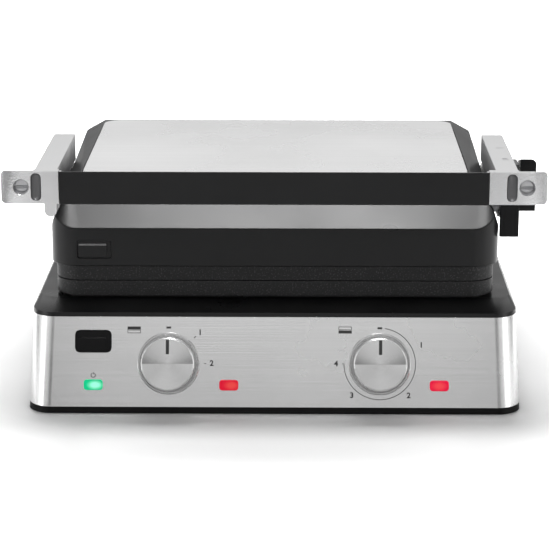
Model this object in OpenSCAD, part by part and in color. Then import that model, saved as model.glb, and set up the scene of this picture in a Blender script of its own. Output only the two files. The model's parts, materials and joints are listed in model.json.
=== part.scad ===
// Electric indoor grill with a hinged lid.
// Millimetres, +Z up. The front faces -Y. The origin is on the table, under the middle of the bounding box.
// Depths are first measured back from the foot of the control panel, and from_front() then centres them.

/* [Base] */
// Width of the base at its foot
base_w = 365; // [360:1:366]
// Depth of the base, without the gland and the tray lip
base_d = 334; // [333:1:336]
// Height of the top edge of the control panel
panel_top = 69; // [68:1:70]
// Lean of the control panel from the vertical, degrees
panel_lean = 16; // [15:0.5:17]
// Lean of the sides of the base, degrees
side_lean = 2.2; // [2:0.1:3]
// Corner radius of the base, seen from above
base_r = 18; // [16:1:22]
// Thickness of the steel control panel
panel_t = 1; // [0.8:0.1:1.2]

/* [Cooking plates] */
// Width of a cooking plate over its rim
plate_w = 328; // [320:1:330]
// Front edge of the plates, behind the panel's foot
plate_front = 37; // [37:1:38]
// Rear edge of the plates
plate_back = 296; // [290:1:296]
// Height of the parting line between the plates
parting_z = 91.8; // [91.5:0.1:92]
// Ribs on each plate
rib_count = 15; // [9:2:17]

/* [Lid] */
// Width of the lid's skirt
lid_w = 334; // [332:1:334]
// Width of the steel top panel
top_w = 289; // [280:1:290]
// Height of the top panel above the table
lid_top = 168; // [167:1:169]
// Corner radius of the lid, seen from above
lid_r = 20; // [18:1:22]

/* [Arms and handle] */
// Width over the ears of the brackets
ear_w = 389.6; // [386:0.2:390]
// Height of the arms' top faces above the table
arm_top = 184; // [183:0.5:185]
// Height of the handle above the table
handle_top = 185.6; // [185:0.2:187]
// Width of an arm's top rail
rail_w = 16.2; // [15:0.1:16.4]
// How much further out the right arm's rail stands than the left one's
right_out = 3.2; // [2:0.1:3.2]
// Length of the handle bar
bar_w = 306.6; // [304:0.2:307]
// Reach of the handle in front of the panel's foot
handle_reach = 12; // [11:0.5:13]

/* [Hinge] */
// Depth of the hinge axis behind the panel's foot
hinge_y = 322; // [321:1:323]
// Height of the hinge axis above the table
hinge_z = 95; // [95:0.5:96]
// Radius of the hinge pins
hinge_r = 4; // [3.5:0.5:4]
// Upward float of the hinge for thick food
hinge_float = 10; // [6:1:10]

/* [Controls] */
// Distance of each dial from the middle
dial_x = 78; // [74:1:80]
// Height of the dials' centres on the panel
dial_z = 36; // [35:0.5:37]
// Radius of a dial's face
dial_r = 19.5; // [18:0.5:20]
// Height of a dial above the panel
dial_h = 16; // [12:0.5:17]
// Distance of the two release buttons left of the middle
button_x = 133.8; // [132:0.2:135]
// Travel of a release button
button_travel = 2.5; // [2:0.1:2.5]
// Travel of the height adjuster along the arm
adjuster_travel = 30; // [28:1:30]

/* [Hidden] */
$fn = 64;

// Clearances: an even gap between still parts, a running fit, and an overlap so that cuts go right through
gap = 0.4;
fit = 0.05;
over = 1;
foot_h = 2;
panel_foot = 5;
deck_z = 78;
deck_ring_z = 79;
tray_lip = 6;
centre_y = (base_d + tray_lip - handle_reach) / 2;
lean_rate = tan(panel_lean);
draft_rate = tan(side_lean);
plate_r = 20;
rim_t = 14;
plate_z0 = 80;
plate_floor = 86;
plate_under = 83;
upper_z0 = parting_z + 0.4;
upper_z1 = 102.8;
lid_z0 = 103.3;
lid_front = 35;
lid_back = plate_back;
cap_x = 168.5;
arm_x = 155.8;
rail_end = 129;
rail_z0 = 164;
lobe_y = 85;
lobe_z = 148;
lobe_r = 18;
lobe_t = 4;
limb_t = 4;
pin_y = 85;
pin_z = 136.5;
guide_r = 3;
// Angle that the guide pins' slots allow
float_angle = 1.8;
// Rise of the lid's side bevels to the rear, in degrees
lid_rise = 2.8;
lid_button_z = 115.8;
button_z = 51.5;
bracket_x0 = bar_w / 2 + 0.3;
handle_z0 = 161.4;
steel = [0.76, 0.76, 0.77];
dark = [0.11, 0.11, 0.115];
alloy = [0.82, 0.82, 0.83];
metal = [0.6, 0.6, 0.62];
copper = [0.72, 0.45, 0.25];

// ---- helpers ----

// Moves depths measured from the control panel's foot to the part's own frame
module from_front() { translate([0, -centre_y, 0]) children(); }

// Rounded rectangle seen from above, symmetrical about X = 0
module plan(half_w, y0, y1, r) {
  translate([-half_w, y0 + r]) square([2 * half_w, y1 - y0 - 2 * r]);
  translate([-half_w + r, y0]) square([2 * (half_w - r), y1 - y0]);
  for (x = [-1, 1]) {
    for (y = [y0 + r, y1 - r]) translate([x * (half_w - r), y]) circle(r);
  }
}

// Upright block with that outline
module plan_block(half_w, y0, y1, r, z0, z1) {
  translate([0, 0, z0]) linear_extrude(z1 - z0) plan(half_w, y0, y1, r);
}

// Tapering block of the base between two heights, its faces moved in by an inset
module base_block(z0, z1, inset) {
  hull() {
    for (z = [z0, z1 - 0.01]) {
      rise = z - panel_foot;
      plan_block(base_w / 2 - rise * draft_rate - inset, rise * lean_rate + inset / cos(panel_lean),
        base_d - inset, base_r - min(inset, base_r - 4), z, z + 0.01);
    }
  }
}

// Frame on the control panel: local X right, Y up the slope, Z out of the face
module on_panel(x, z) {
  translate([x, (z - panel_foot) * lean_rate, z]) rotate([90 - panel_lean, 0, 0]) children();
}

// Flat slab with rounded corners, centred on the local Z axis
module pill(w, h, r, z0, z1) {
  translate([0, 0, z0]) linear_extrude(z1 - z0) {
    translate([-w / 2 + r, -h / 2]) square([w - 2 * r, h]);
    translate([-w / 2, -h / 2 + r]) square([w, h - 2 * r]);
    for (x = [-1, 1]) {
      for (y = [-1, 1]) translate([x * (w / 2 - r), y * (h / 2 - r)]) circle(r);
    }
  }
}

// Side outline in Y and Z, drawn through between two X places
module side_cut(x0, x1) {
  translate([x0, 0, 0]) rotate([90, 0, 90]) linear_extrude(x1 - x0) children();
}

// Rod along X at a place in Y and Z
module rod_x(r, x0, x1, y, z) {
  translate([x0, y, z]) rotate([0, 90, 0]) cylinder(r = r, h = x1 - x0);
}

// Straight bar between two points of a side outline
module link(y0, z0, y1, z1, r) {
  length = norm([y1 - y0, z1 - z0]);
  translate([y0, z0]) rotate(atan2(z1 - z0, y1 - y0)) translate([0, -r]) square([length, 2 * r]);
}

// Spring wound about local Z: wire swept round in steps of thirty degrees
module coil(r, wire, turns, height) {
  sides = 6;
  rings = turns * 12;
  points = [
    for (i = [0:rings], j = [0:sides - 1])
      let (a = i * 30, b = j * 360 / sides, d = r + wire * cos(b))
        [d * cos(a), d * sin(a), wire + (height - 2 * wire) * i / rings + wire * sin(b)]
  ];
  walls = [
    for (i = [0:rings - 1], j = [0:sides - 1], k = [0, 1])
      let (a = i * sides + j, b = i * sides + (j + 1) % sides)
        k == 0 ? [a, a + sides, b + sides] : [a, b + sides, b]
  ];
  caps = [[for (j = [0:sides - 1]) j], [for (j = [sides - 1:-1:0]) rings * sides + j]];
  polyhedron(points, concat(walls, caps));
}

// ---- base ----

post_places = [for (x = [-163, 163], y = [64, 292]) [x, y]];

module base_pan() {
  color(dark) from_front() difference() {
    union() {
      difference() {
        base_block(foot_h, 66, panel_t + gap);
        base_block(foot_h + 3, 67, 4.4);
      }
      // Skirt that nearly reaches the table
      difference() {
        intersection() {
          base_block(0.4, panel_foot - 0.2, 0);
          plan_block(base_w, -over, base_d + over, 4, 0, 10);
        }
        base_block(-over, foot_h + 0.01, 3);
      }
      tray_rails();
      for (p = post_places) translate([p[0], p[1], 4]) cylinder(r = 6, h = 8);
    }
    // Window behind the controls
    on_panel(0, dial_z) translate([-152, -25, -8]) cube([304, 52, 12]);
    // Mouth for the drip tray
    translate([-70, base_d - 12, 5.6]) cube([140, 20, 14]);
    // Cord hole
    translate([122, base_d + over, 34]) rotate([90, 0, 0]) cylinder(r = 7.1, h = 12);
    for (p = post_places) {
      translate([p[0], p[1], 0]) cylinder(r = 2.1, h = 20);
      translate([p[0], p[1], 0]) cylinder(r = 4.2, h = 4.5);
    }
    for (p = foot_places) translate([p[0], p[1], 0]) cylinder(r = 4.1, h = 8);
    // Air slots in the floor
    for (i = [-4:4]) translate([i * 22 - 2, 100, 0]) cube([4, 90, 8]);
  }
}

module tray_rails() {
  for (x = [-72, 69.6]) translate([x, 225, foot_h + 2]) cube([2.4, 100, 10]);
}

foot_places = [for (x = [-148, 148], y = [36, 306]) [x, y]];

module rubber_feet() {
  color([0.06, 0.06, 0.06]) from_front() for (p = foot_places) translate([p[0], p[1], 0]) {
    cylinder(r = 12, h = foot_h - 0.05);
    cylinder(r = 4, h = 6);
  }
}

module base_deck() {
  top_y = (panel_top - panel_foot) * lean_rate;
  color(dark) from_front() difference() {
    union() {
      base_block(panel_top + 0.2, 72, 0);
      // Top that slopes up from a low front edge
      hull() {
        plan_block(base_w / 2 - 67 * draft_rate, 67 * lean_rate, base_d, base_r, 71.9, 72);
        plan_block(base_w / 2 - 6, 40, base_d - 2, 14, deck_z - 0.01, deck_z);
      }
      plan_block(160, 42, 292, 16, deck_z - over, deck_ring_z);
      // Inner wall that centres the deck in the panel
      difference() {
        base_block(66.2, panel_top + over, 4.6);
        base_block(60, panel_top, 7.2);
      }
      for (p = post_places) translate([p[0], p[1], 12.2]) cylinder(r = 5, h = panel_top - 12);
    }
    plan_block(152, 58, 288, 12, 60, 90);
    // Slot for the latch hook
    translate([-button_x - 8, 43, 60]) cube([16, 12, 30]);
    // Way down for the grease
    translate([-14.5, 296.8, 60]) cube([29, 11.6, 30]);
    for (p = post_places) translate([p[0], p[1], 0]) cylinder(r = 1.55, h = 30);
    // Seats of the rear plate hooks
    for (x = [-90, 90]) translate([x - 6.1, 297, 74]) cube([12.2, 4.6, 10]);
  }
}

module control_panel() {
  color(steel) from_front() difference() {
    base_block(panel_foot, panel_top, 0);
    base_block(panel_foot - over, panel_top + over, panel_t);
    translate([-base_w, 300, 0]) cube([2 * base_w, 100, 100]);
    for (x = [-dial_x, dial_x]) on_panel(x, dial_z) cylinder(r = 7, h = 30, center = true);
    on_panel(-button_x, button_z) pill(27.2, 16.9, 4.2, -15, 15);
    for (x = lens_x) on_panel(x, lens_z) pill(14.2, 8, 2.6, -15, 15);
  }
}

lens_x = [-button_x, -33.5, 122];
lens_z = 20.6;

module control_frame() {
  color([0.16, 0.16, 0.17]) from_front() difference() {
    on_panel(0, dial_z) translate([-150, -24, -17]) cube([300, 46, 3]);
    for (x = [-dial_x, dial_x]) on_panel(x, dial_z) cylinder(r = 6.6, h = 60, center = true);
    on_panel(-button_x, button_z) pill(8.8, 8.8, 1, -40, 15);
    for (x = lens_x) on_panel(x, lens_z) cylinder(r = 2.7, h = 60, center = true);
  }
}

module base_screws() {
  color(metal) from_front() for (p = post_places) translate([p[0], p[1], 2.4]) {
    cylinder(r = 3.8, h = 2);
    cylinder(r = 1.5, h = 22);
  }
}

module lower_reflector() {
  color(metal) from_front() difference() {
    union() {
      plan_block(150, 60, 286, 12, 50, 79.4);
      plan_block(156, 56.5, 290.5, 12, deck_ring_z, 79.8);
    }
    plan_block(149, 61, 285, 11, 51, 90);
    for (x = [-20, 20]) translate([x, 250, 40]) cylinder(r = 5.1, h = 20);
  }
}

// Heating rod: a rounded loop open in the middle of its rear run, with two tails
module element(z, tail_z) {
  bend = 28;
  side = 112;
  front = 84;
  back = 250;
  rod = 4;
  for (s = [-1, 1]) {
    rod_x(rod, min(s * 20, s * (side - bend)), max(s * 20, s * (side - bend)), back, z);
    translate([s * side, front + bend, z]) rotate([-90, 0, 0]) cylinder(r = rod, h = back - front - 2 * bend);
    translate([s * (side - bend), front + bend, z]) rotate([0, 0, s > 0 ? -90 : 180])
      rotate_extrude(angle = 90) translate([bend, 0]) circle(rod);
    translate([s * (side - bend), back - bend, z]) rotate([0, 0, s > 0 ? 0 : 90])
      rotate_extrude(angle = 90) translate([bend, 0]) circle(rod);
    translate([s * 20, back, z]) sphere(rod);
    translate([s * 20, back, min(z, tail_z)]) cylinder(r = 3, h = abs(z - tail_z));
  }
  rod_x(rod, -(side - bend), side - bend, front, z);
}

module lower_element() { color([0.35, 0.34, 0.36]) from_front() element(73, 43); }

module lower_element_bushings() {
  color([0.92, 0.9, 0.86]) from_front() for (x = [-20, 20]) translate([x, 250, 0]) difference() {
    union() {
      translate([0, 0, 46]) cylinder(r = 5, h = 7);
      translate([0, 0, 51.1]) cylinder(r = 7.5, h = 2);
    }
    cylinder(r = 3.05, h = 80);
  }
}

// Cooking plate seen as the lower one: rim, floor, ribs, hollow underside and latch slot
module plate_form(z0, floor_z, under_z, top_z, rib_h, slot_y) {
  rib_w = 4;
  step = 2 * 132 / (rib_count - 1);
  difference() {
    plan_block(plate_w / 2, plate_front, plate_back, plate_r, z0, top_z);
    plan_block(plate_w / 2 - rim_t, plate_front + rim_t, plate_back - rim_t, 12, floor_z, top_z + over);
    plan_block(157, 43, 290, 14, z0 - over, under_z);
    // Slot that the latch hook holds
    translate([-button_x - 6.5, 39.6, z0 + 0.8]) cube([13, 4, under_z - z0 - 0.8]);
    // Slots that the rear hooks hold
    for (x = [-90, 90]) translate([x - 6.5, slot_y, z0 + 0.8]) cube([13, 5.5, 2]);
  }
  for (i = [0:rib_count - 1]) {
    x = i * step - 132;
    translate([x, plate_back - rim_t - 10, floor_z - 0.5]) rotate([90, 0, 0])
      linear_extrude(plate_back - plate_front - 2 * rim_t - 20)
        polygon([[-rib_w / 2, 0], [rib_w / 2, 0], [rib_w / 3, rib_h + 0.5], [-rib_w / 3, rib_h + 0.5]]);
  }
}

module lower_plate() {
  color([0.15, 0.15, 0.16]) from_front() difference() {
    plate_form(plate_z0, plate_floor, plate_under, parting_z - 0.2, 2.5, 292);
    // Grease notch through the rear rim
    translate([-11, plate_back - rim_t - 2, plate_floor]) cube([22, rim_t + 4, 20]);
  }
}

module plate_hooks() {
  color(metal) from_front() for (x = [-90, 90]) translate([x - 5.5, 0, 0]) {
    translate([0, 297.3, 74.5]) cube([11, 4, 10.4]);
    translate([0, 293.5, 81.1]) cube([11, 5, 1.3]);
  }
}

module grease_spout() {
  color(metal) from_front() difference() {
    translate([-14, 297, 22]) cube([28, 11, 62]);
    translate([-13, 298, 20]) cube([26, 9, 70]);
    translate([-11, 290, 80]) cube([22, 10, 20]);
  }
}

module thermostat(s) {
  color([0.78, 0.74, 0.66]) from_front() on_panel(s * dial_x, dial_z) difference() {
    union() {
      translate([0, 0, -40]) cylinder(r = 13, h = 22.9);
      translate([0, 0, -17.2]) cylinder(r = 6.4, h = 6);
      for (x = [-8, 8]) translate([x - 3, 4, -50]) cube([6, 0.8, 11]);
    }
    translate([0, 0, -36]) cylinder(r = 3 + fit, h = 60);
  }
}

module left_thermostat() { thermostat(-1); }
module right_thermostat() { thermostat(1); }

module indicator_board() {
  color([0.1, 0.35, 0.18]) from_front() on_panel(0, lens_z) translate([-146, -6, -30]) cube([286, 8.6, 1.6]);
}

module indicator_lamps() {
  color([0.9, 0.88, 0.8]) from_front() for (x = lens_x) on_panel(x, lens_z) {
    translate([0, 0, -28.3]) cylinder(r = 2.4, h = 12);
    translate([0, 0, -16.3]) sphere(2.4);
  }
}

module lens(x) {
  from_front() on_panel(x, lens_z) {
    pill(14, 7.8, 2.5, -panel_t - 1, 0.7);
    pill(17, 10.4, 3, -4, -panel_t - 0.2);
  }
}

module power_lens() { color([0.1, 0.95, 0.6]) lens(lens_x[0]); }
module left_ready_lens() { color([1, 0.1, 0.2]) lens(lens_x[1]); }
module right_ready_lens() { color([1, 0.1, 0.2]) lens(lens_x[2]); }

module terminal_block() {
  color([0.9, 0.9, 0.88]) from_front() difference() {
    translate([92, 296, 5.1]) cube([44, 16, 16]);
    for (i = [0:2]) translate([102 + i * 12, 290, 13]) rotate([-90, 0, 0]) cylinder(r = 3, h = 40);
  }
}

module cord_gland() {
  color([0.08, 0.08, 0.08]) from_front() translate([122, 0, 34]) rotate([-90, 0, 0]) difference() {
    union() {
      translate([0, 0, base_d - 9]) cylinder(r = 7, h = 10);
      translate([0, 0, base_d + 0.2]) cylinder(r = 10, h = 3);
      translate([0, 0, base_d + 2.4]) cylinder(r = 6.5, h = tray_lip - 2.4);
      translate([0, 0, base_d - 10]) cylinder(r = 9, h = 3.8);
    }
    translate([0, 0, base_d - 20]) cylinder(r = 3.6, h = 40);
  }
}

module dial_ring(s) {
  color([0.85, 0.85, 0.86]) from_front() on_panel(s * dial_x, dial_z) difference() {
    translate([0, 0, fit]) cylinder(r = 23, h = 1.6);
    translate([0, 0, -over]) cylinder(r = 20.9, h = 5);
  }
}

module left_dial_ring() { dial_ring(-1); }
module right_dial_ring() { dial_ring(1); }

// ---- dials ----

module dial(s) {
  color([0.72, 0.72, 0.73]) from_front() on_panel(s * dial_x, dial_z) difference() {
    union() {
      translate([0, 0, 0.4]) cylinder(r = 20.5, h = 1.6);
      translate([0, 0, 2]) cylinder(r1 = 20.5, r2 = dial_r, h = dial_h - 2);
    }
    translate([0, 0, dial_h - 0.8]) cylinder(r = dial_r - 0.9, h = 5);
    difference() {
      translate([0, 0, -over]) cylinder(r = 17.5, h = 8.2);
      translate([0, 0, -over]) cylinder(r = 6, h = 9);
    }
    translate([0, 0, -over]) cylinder(r = 3 + fit, h = 8);
  }
}

module dial_cap(s) {
  color(steel) from_front() on_panel(s * dial_x, dial_z) translate([0, 0, dial_h - 0.8]) difference() {
    cylinder(r = dial_r - 0.95, h = 0.8);
    translate([-1.25, 7, 0.3]) cube([2.5, 10.8, 1]);
  }
}

module dial_pointer(s) {
  color([0.03, 0.03, 0.03]) from_front() on_panel(s * dial_x, dial_z)
    translate([-1.2, 7.1, dial_h - 0.5]) cube([2.4, 10.6, 0.6]);
}

module dial_shaft(s) {
  color(metal) from_front() on_panel(s * dial_x, dial_z) translate([0, 0, -34]) cylinder(r = 3, h = 41);
}

module left_dial() { dial(-1); }
module left_dial_cap() { dial_cap(-1); }
module left_dial_pointer() { dial_pointer(-1); }
module left_dial_shaft() { dial_shaft(-1); }
module right_dial() { dial(1); }
module right_dial_cap() { dial_cap(1); }
module right_dial_pointer() { dial_pointer(1); }
module right_dial_shaft() { dial_shaft(1); }

// ---- base release button and its latch ----

module base_release_button() {
  color([0.05, 0.05, 0.055]) from_front() on_panel(-button_x, button_z) {
    pill(26.4, 16.1, 4, -4, 1.6);
    pill(30, 19, 4, -6, -panel_t - 0.2);
    pill(7.6, 7.6, 0.8, -30.6, -5);
  }
}

module base_latch_hook() {
  stem_y = 44.2;
  color(metal) from_front() translate([-button_x - 5, 0, 0]) {
    translate([0, stem_y, 40]) cube([10, 1.6, plate_under - 0.5 - 40]);
    translate([0, stem_y - 3.2, plate_under - 1.4]) cube([10, 4, 1]);
  }
}

module base_button_spring() {
  color(metal) from_front() on_panel(-button_x, button_z) translate([0, 0, -13.8]) coil(6.6, 0.45, 4, 7.6);
}

// ---- drip tray ----

module drip_tray() {
  color(dark) from_front() {
    difference() {
      translate([-67.5, 232, 5.9]) cube([135, base_d - 232 + 1, 12.6]);
      translate([-65.7, 233.8, 7.7]) cube([131.4, base_d - 232 - 3.6, 20]);
    }
    difference() {
      translate([-74, base_d + 0.6, 5]) cube([148, 2.4, 18]);
      translate([-20, base_d, 18]) cube([40, 5, 10]);
    }
    translate([-18, base_d + 2, 9]) cube([36, tray_lip - 2, 2.4]);
  }
}

// ---- hinge ----

module hinge_bracket(s) {
  half = 11;
  x0 = 150;
  color(metal) from_front() mirror([s > 0 ? 0 : 1, 0, 0]) difference() {
    union() {
      side_cut(x0, x0 + 16) {
        translate([hinge_y, hinge_z + hinge_float]) circle(half);
        translate([hinge_y - half, deck_z + 0.2]) square([2 * half, hinge_z + hinge_float - deck_z]);
      }
      translate([x0 - 6, hinge_y - half, deck_z + 0.1]) cube([22, 2 * half - 2, 2]);
    }
    side_cut(x0 - 9, x0 + 20) {
      for (z = [hinge_z, hinge_z + hinge_float]) translate([hinge_y, z]) circle(hinge_r + fit);
      translate([hinge_y - hinge_r - fit, hinge_z]) square([2 * (hinge_r + fit), hinge_float]);
    }
  }
}

module left_hinge_bracket() { hinge_bracket(-1); }
module right_hinge_bracket() { hinge_bracket(1); }

module hinge_pin(s) {
  color([0.66, 0.66, 0.68]) from_front() mirror([s > 0 ? 0 : 1, 0, 0]) {
    rod_x(hinge_r, 130, cap_x + limb_t + 2, hinge_y, hinge_z);
    rod_x(hinge_r + 2.5, cap_x + limb_t + 0.3, cap_x + limb_t + 2.5, hinge_y, hinge_z);
    rod_x(hinge_r + 2, 130.5, 131.9, hinge_y, hinge_z);
  }
}

module left_hinge_pin() { hinge_pin(-1); }
module right_hinge_pin() { hinge_pin(1); }

// ---- arms and handle ----

// Slot that a guide pin rides in, as a side outline with a given radius
module guide_slot(r) {
  dy = pin_y - hinge_y;
  dz = pin_z - hinge_z;
  y1 = hinge_y + dy * cos(float_angle) + dz * sin(float_angle);
  z1 = hinge_z + dz * cos(float_angle) - dy * sin(float_angle);
  translate([pin_y, pin_z]) circle(r);
  translate([y1, z1]) circle(r);
  link(pin_y, pin_z, y1, z1, r);
}

// X where a rail starts
function rail_x(s) = arm_x + (s > 0 ? right_out : 0);

module arm(s) {
  limb_r = 10;
  corner = 1.5;
  color(alloy) from_front() mirror([s > 0 ? 0 : 1, 0, 0]) difference() {
    union() {
      // Rail, with its far outer corner rounded
      translate([rail_x(s), 0, rail_z0]) linear_extrude(arm_top - rail_z0) {
        translate([0, -3.8]) square([rail_w, rail_end - corner + 3.8]);
        translate([0, -3.8]) square([rail_w - corner, rail_end + 3.8]);
        translate([rail_w - corner, rail_end - corner]) circle(corner);
      }
      // Nose under the front of the left rail
      if (s < 0) translate([0, 28, 0]) rotate([90, 0, 0]) linear_extrude(31.8) {
        translate([arm_x + 4.8, 154.7]) circle(4.4);
        translate([arm_x + 0.4, 154.7]) square([8.8, 11.3]);
      }
      // Lobe that guides the lid
      side_cut(cap_x, cap_x + lobe_t) {
        translate([lobe_y, lobe_z]) circle(lobe_r);
        translate([lobe_y - lobe_r, lobe_z]) square([2 * lobe_r, 170 - lobe_z]);
      }
      // Limb down to the hinge
      side_cut(cap_x, cap_x + limb_t) {
        translate([117, 171]) circle(limb_r);
        link(117, 171, hinge_y, hinge_z, limb_r);
        translate([hinge_y, hinge_z]) circle(limb_r + 1);
      }
    }
    side_cut(cap_x - 9, cap_x + 9) guide_slot(guide_r + 0.2);
    rod_x(hinge_r + fit, cap_x - over, cap_x + limb_t + over, hinge_y, hinge_z);
  }
}

module left_arm() { arm(-1); }
module right_arm() { arm(1); }

ear_x = 180.6;
ear_z = 174.2;
ear_t = 3.8;
// Places of the screws that hold the bar, in Y and Z
screw_places = [[4.5, 169], [4.5, 177]];

module bracket(s) {
  z0 = handle_z0 + 0.6;
  h = handle_top - z0;
  r = 3;
  color(alloy) from_front() mirror([s > 0 ? 0 : 1, 0, 0]) difference() {
    union() {
      // Ear: a plate with rounded ends, and a boss behind its blind hole
      translate([0, ear_t - handle_reach, 0]) rotate([90, 0, 0]) linear_extrude(ear_t) {
        translate([bracket_x0, z0]) square([ear_w / 2 - bracket_x0 - r, h]);
        translate([bracket_x0, z0 + r]) square([ear_w / 2 - bracket_x0, h - 2 * r]);
        for (z = [z0 + r, handle_top - r]) translate([ear_w / 2 - r, z]) circle(r);
      }
      translate([ear_x, -4, ear_z]) rotate([90, 0, 0]) cylinder(r = 8, h = handle_reach - 5);
      // Thicker part that meets the arm
      translate([bracket_x0, -handle_reach + 1, z0]) cube([rail_x(s) + rail_w - bracket_x0 - 0.5, 7, h]);
      // Root that takes the bar and the arm
      translate([bracket_x0, -5, z0]) cube([rail_x(s) - bracket_x0 - 0.1, 15, h]);
    }
    // Blind hole
    translate([ear_x, -handle_reach + 6, ear_z]) rotate([90, 0, 0]) cylinder(r = 5.8, h = 10);
    // Upright finger scoop
    translate([169.7, -handle_reach - 0.6, ear_z - 10]) cylinder(r = 3.9, h = 20);
    for (p = screw_places) rod_x(2.05, bracket_x0 - over, bracket_x0 + 4, p[0], p[1]);
  }
}

module left_bracket() { bracket(-1); }
module right_bracket() { bracket(1); }

module handle_bar() {
  y0 = -handle_reach;
  z0 = handle_z0;
  top = handle_top;
  color(dark) from_front() difference() {
    side_cut(-bar_w / 2, bar_w / 2)
      polygon([[y0, z0 + 1], [y0, top - 1], [y0 + 1, top], [1.6, top - 3.4], [1.6, z0 + 2.4], [y0 + 1, z0]]);
    side_cut(-bar_w / 2 + 20, bar_w / 2 - 20) translate([-8.5, z0 + 4.4]) square([12, 13.4]);
  }
}

module handle_back() {
  z0 = handle_z0;
  top = handle_top;
  color(dark) from_front() difference() {
    side_cut(-bar_w / 2, bar_w / 2) polygon([
      [1.9, z0 + 2.6], [1.9, top - 3.6], [11, top - 6.5], [12.5, top - 8.5], [12.5, z0 + 6], [10, z0 + 3]]);
    for (s = [0, 1], p = screw_places) mirror([s, 0, 0])
      rod_x(1.95, bar_w / 2 - 17, bar_w / 2 + over, p[0], p[1]);
  }
}

module handle_screws() {
  color(metal) from_front() for (s = [0, 1], p = screw_places) mirror([s, 0, 0])
    rod_x(1.9, bar_w / 2 - 14, arm_x - 0.2, p[0], p[1]);
}

// ---- height adjuster on the right arm ----

hx0 = cap_x + lobe_t + 0.5;
hx1 = 179.6;
hx2 = 181.6;
// Rise of the adjuster's ramp, in degrees
ramp = atan2(7.44, adjuster_travel - 1.3);

module adjuster_housing() {
  color([0.07, 0.07, 0.075]) from_front() difference() {
    union() {
      side_cut(hx0, hx2)
        polygon([[48, 123], [48, rail_z0 - 0.6], [104, rail_z0 - 0.6], [104, 156], [128, 156], [128, 123]]);
      // Neck beside the rail
      side_cut(rail_x(1) + rail_w + 0.4, hx2)
        polygon([[54, 160], [54, 173], [57, 176], [78, 176], [86, 168], [86, 160]]);
      // Front lip that closes the gap to the lobe
      translate([lid_w / 2 + 0.4, 48, 123]) cube([7.4, 3, 38]);
    }
    side_cut(hx0 - over, hx1)
      polygon([[51, 126], [51, 161], [101, 161], [101, 153.6], [126, 153.6], [126, 126]]);
    translate([hx1 - over, 58, 145.4]) cube([4, 58, 7.2]);
  }
}

module adjuster_slide() {
  ramp_y0 = 51.6;
  ramp_y1 = 94;
  lift = (guide_r + 0.3) / cos(ramp);
  color([0.25, 0.25, 0.26]) from_front() {
    side_cut(hx0 + 0.8, hx1 - 0.3) polygon([
      [ramp_y0, 126.4], [ramp_y0, pin_z + (pin_y - ramp_y0) * tan(ramp) - lift],
      [ramp_y1, pin_z + (pin_y - ramp_y1) * tan(ramp) - lift], [ramp_y1, 126.4]]);
    side_cut(hx1 - 1.7, hx1 - 0.3) polygon([[ramp_y0, 126.4], [ramp_y0, 153], [90, 153], [90, 126.4]]);
    translate([hx1 - 1, 60, 146]) cube([5, 16, 6]);
  }
}

module adjuster_thumb() {
  x0 = 182.4;
  x1 = 194.2;
  z0 = 141;
  z1 = 180.6;
  r = 4;
  top_slope = 14;
  color([0.05, 0.05, 0.055]) from_front() difference() {
    translate([0, 56, 0]) rotate([-90, 0, 0]) mirror([0, 1, 0]) linear_extrude(22) {
      translate([x0, z0]) square([x1 - x0 - r, z1 - z0]);
      translate([x0, z0]) square([x1 - x0, z1 - z0 - r]);
      translate([x1 - r, z1 - r]) circle(r);
    }
    translate([x0 - over, 59.8, 145.8]) cube([3.4, 16.4, 6.4]);
    // Top that falls away to the rear
    translate([x0 - over, 56, z1]) rotate([-top_slope, 0, 0]) translate([0, -over, 0]) cube([14, 26, 8]);
  }
}

// ---- lid ----

function reversed(list) = [for (i = [len(list) - 1:-1:0]) list[i]];

// Outer form of the lid moved in by an inset: plan, side and front outlines crossed
module lid_form(inset, z0, z1) {
  front = lid_front + inset;
  back = lid_back - inset;
  half = lid_w / 2 - inset;
  // Skirt, steep foot of the bevel, bevel, and a top above the lid's own
  side = [[half, 60], [half, 136 - inset], [162.3 - inset, 149.5 - inset * 0.6],
    [143.3 - inset, 174 - inset * 0.6], [143.3 - inset, 200]];
  intersection() {
    plan_block(lid_w / 2 - inset, front, back, lid_r - inset, z0, z1);
    side_cut(-lid_w, lid_w) polygon([
      [front, 90], [front, 132 - inset * 0.5], [front + 21, 152 - inset * 0.7], [front + 23, 166 - inset],
      [back - 18, 166 - inset], [back, 150 - inset], [back, 90]]);
    // Side bevels, rising a little to the rear
    translate([0, 160, 150]) rotate([lid_rise, 0, 0]) translate([0, 200, -150]) rotate([90, 0, 0])
      linear_extrude(400) polygon(concat(side, [for (p = reversed(side)) [-p[0], p[1]]]));
    // Flatter shoulders beside the top panel
    translate([0, 400, 0]) rotate([90, 0, 0]) linear_extrude(500) polygon([
      [-200, 60], [200, 60], [200, 129.8 - inset], [146 - inset * 0.3, 166 - inset], [146 - inset * 0.3, 170],
      [-146 + inset * 0.3, 170], [-146 + inset * 0.3, 166 - inset], [-200, 129.8 - inset]]);
  }
}

module lid_shell() {
  color([0.13, 0.13, 0.135]) from_front() difference() {
    lid_form(0, lid_z0, 166);
    difference() {
      lid_form(2.6, lid_z0 - over, 163.4);
      // Ledge that the upper plate and reflector sit on
      difference() {
        plan_block(lid_w, 0, 400, 20, lid_z0 - 2, lid_z0 + 1.8);
        plan_block(152, 58, 288, 12, lid_z0 - 3, lid_z0 + 3);
        translate([-button_x - 8, 43, lid_z0 - 3]) cube([16, 12, 6]);
      }
    }
    // Mouth of the release button
    translate([-button_x, lid_front, lid_button_z]) rotate([90, 0, 0]) pill(25.4, 13.4, 3, -6, 6);
    // Holes for the guide pins
    for (s = [0, 1]) mirror([s, 0, 0]) rod_x(guide_r + 0.02, 158, 170, pin_y, pin_z);
    // Holes for the strap screws
    for (x = [-140, 140], z = [113, 124]) translate([x, lid_back + 5, z]) rotate([90, 0, 0])
      cylinder(r = 2.05, h = 12);
  }
}

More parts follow.
